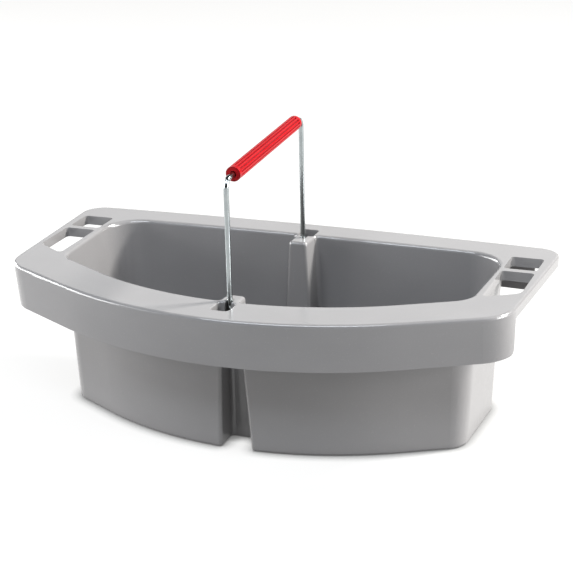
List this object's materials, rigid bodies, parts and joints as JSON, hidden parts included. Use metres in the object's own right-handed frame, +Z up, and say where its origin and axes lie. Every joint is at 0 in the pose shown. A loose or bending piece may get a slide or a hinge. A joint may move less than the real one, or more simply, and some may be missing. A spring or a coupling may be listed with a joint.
{
  "type": "cleaning caddy",
  "caption": "D-shaped moulded housekeeping caddy with hand holds in the rim and a drop bail of wire with a ribbed grip.",
  "frame": {"origin": "middle of the base, on the surface it stands on", "axes": "+X along the long side, bowed front towards -Y, +Z up"},
  "size_m": [0.4064, 0.2281, 0.2218],
  "materials": {
    "tray_plastic": "smooth moulded polypropylene, satin to gloss",
    "bail_wire": "bright zinc plated round wire",
    "grip_plastic": "ribbed extruded sleeve, glossy"
  },
  "bodies": {
    "tray": {"tray": "tray_plastic"},
    "bail": {"bail": "bail_wire"},
    "grip": {"grip_sleeve": "grip_plastic"}
  },
  "joints": [
    {"name": "bail_drop", "type": "slide", "parent": "tray", "child": "bail", "axis": [0, 0, 1], "range_m": [-0.085, 0]},
    {"name": "grip_spin", "type": "hinge", "parent": "bail", "child": "grip", "pos_m": [0, 0.0017, 0.2127], "axis": [0, 0.9984, 0.0563], "continuous": true}
  ]
}
